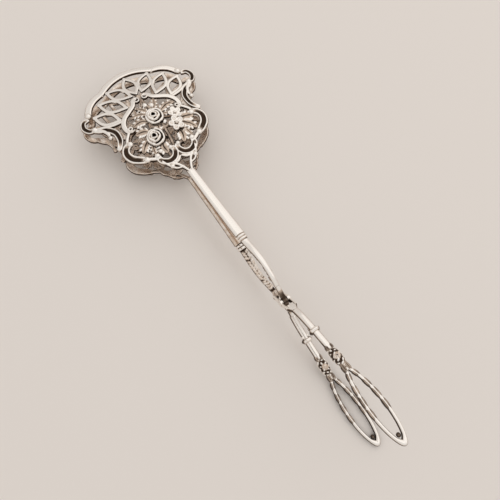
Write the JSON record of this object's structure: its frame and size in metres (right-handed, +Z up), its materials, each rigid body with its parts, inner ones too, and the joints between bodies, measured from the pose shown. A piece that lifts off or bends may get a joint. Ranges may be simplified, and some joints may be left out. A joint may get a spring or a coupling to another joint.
{
  "type": "pastry tongs",
  "caption": "Scissor-action pastry tongs of cast silver-coloured metal: pierced domed jaws with rose sprays, a riveted box joint and open loop handles.",
  "frame": {"origin": "on the table, under the middle of the outline, as the tongs lie with the jaws nearly closed", "axes": "+X from the handles to the jaws, +Y along the pivot rivet, +Z up"},
  "size_m": [0.2138, 0.0628, 0.0372],
  "materials": {
    "silver": "polished silver, oxidised dark in the recesses of the ornament"
  },
  "bodies": {
    "lower_arm": {"lower_jaw_rim": "silver", "lower_jaw_lattice": "silver", "lower_jaw_scrolls": "silver", "lower_jaw_spray": "silver", "lower_jaw_rose_front": "silver", "lower_jaw_rose_back": "silver", "lower_jaw_blossom": "silver", "lower_neck": "silver", "lower_collar": "silver", "lower_shank": "silver", "lower_handle_bar": "silver", "lower_bead_ring": "silver", "lower_handle_knot": "silver", "lower_handle_loop": "silver", "lower_loop_bead": "silver", "lower_box": "silver", "pivot_rivet": "silver"},
    "upper_arm": {"upper_jaw_rim": "silver", "upper_jaw_lattice": "silver", "upper_jaw_scrolls": "silver", "upper_jaw_spray": "silver", "upper_jaw_rose_front": "silver", "upper_jaw_rose_back": "silver", "upper_jaw_blossom": "silver", "upper_neck": "silver", "upper_collar": "silver", "upper_shank": "silver", "upper_handle_bar": "silver", "upper_bead_ring": "silver", "upper_handle_knot": "silver", "upper_handle_loop": "silver", "upper_loop_bead": "silver", "upper_tongue": "silver"}
  },
  "joints": [
    {"name": "pivot", "type": "hinge", "parent": "lower_arm", "child": "upper_arm", "pos_m": [-0.03431, 0, 0.01623], "axis": [0, -1, 0], "range_deg": [-1.4, 30]}
  ]
}
